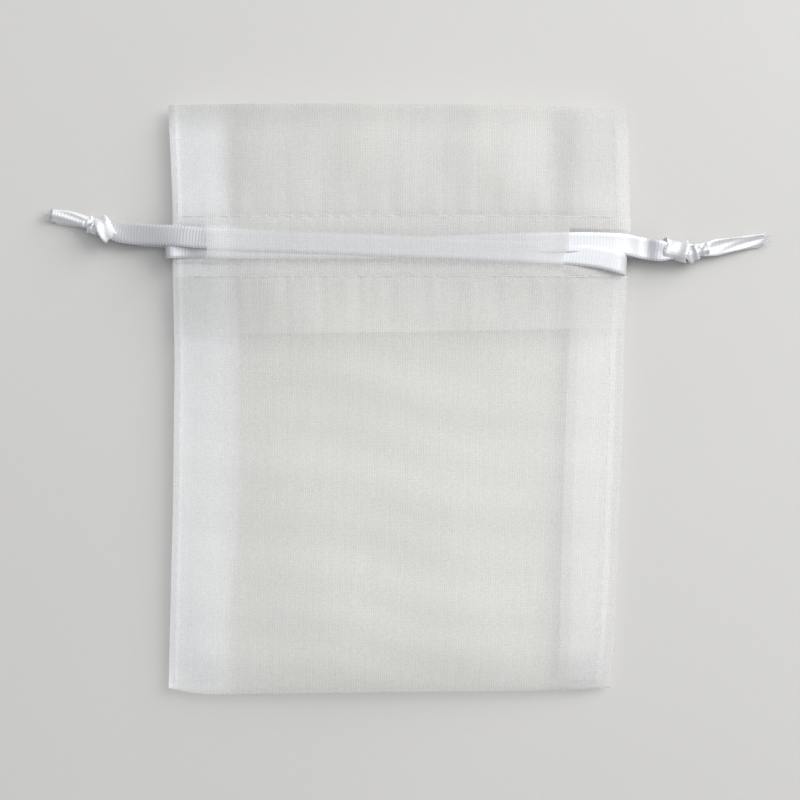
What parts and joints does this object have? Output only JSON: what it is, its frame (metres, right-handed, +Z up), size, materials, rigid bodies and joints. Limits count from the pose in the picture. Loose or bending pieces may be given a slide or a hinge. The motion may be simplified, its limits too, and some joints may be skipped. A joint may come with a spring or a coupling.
{
  "type": "drawstring gift pouch",
  "caption": "Small sheer organza gift pouch, lying flat, with a stitched casing below a plain header and a pair of knotted satin ribbon drawstrings, one pulled from each side.",
  "frame": {"origin": "centre of the cloth's outline, on the surface that the back panel lies on", "axes": "+X across the pouch towards its right side, +Y from the folded bottom towards the open mouth, +Z up from the surface that it lies on"},
  "size_m": [0.1112, 0.0906, 0.0082],
  "materials": {
    "organza": "sheer white organza, crisp open plain weave with a faint lustre",
    "ribbon": "white satin ribbon, finely ribbed across its width, with a bright sheen",
    "thread": "white polyester sewing thread"
  },
  "bodies": {
    "pouch": {"front_panel": "organza", "back_panel": "organza", "front_facing": "organza", "back_facing": "organza", "front_casing_upper_stitches": "thread", "front_casing_lower_stitches": "thread", "back_casing_upper_stitches": "thread", "back_casing_lower_stitches": "thread", "left_seam_allowance": "organza", "right_seam_allowance": "organza", "left_seam_stitches": "thread", "right_seam_stitches": "thread"},
    "left_neck": {"left_slit_edge": "organza", "left_neck_allowance": "organza", "left_neck_stitches": "thread"},
    "right_neck": {"right_slit_edge": "organza", "right_neck_allowance": "organza", "right_neck_stitches": "thread"},
    "left_cord": {"left_drawstring": "ribbon", "left_knot": "ribbon"},
    "right_cord": {"right_drawstring": "ribbon", "right_knot": "ribbon"}
  },
  "joints": [
    {"name": "left_drawstring_pull", "type": "slide", "parent": "pouch", "child": "left_cord", "axis": [-1, 0, 0], "range_m": [0, 0.02]},
    {"name": "right_drawstring_pull", "type": "slide", "parent": "pouch", "child": "right_cord", "axis": [1, 0, 0], "range_m": [0, 0.02]},
    {"name": "right_neck_gather", "type": "slide", "parent": "pouch", "child": "right_neck", "axis": [-1, 0, 0], "range_m": [0, 0.02], "deforming": ["front_facing", "back_facing"]},
    {"name": "left_neck_gather", "type": "slide", "parent": "pouch", "child": "left_neck", "axis": [1, 0, 0], "range_m": [0, 0.02], "deforming": ["front_facing", "back_facing"]}
  ],
  "couplings": [
    {"joint": "right_neck_gather", "follows": "left_drawstring_pull", "ratio": 1},
    {"joint": "left_neck_gather", "follows": "right_drawstring_pull", "ratio": 1}
  ]
}
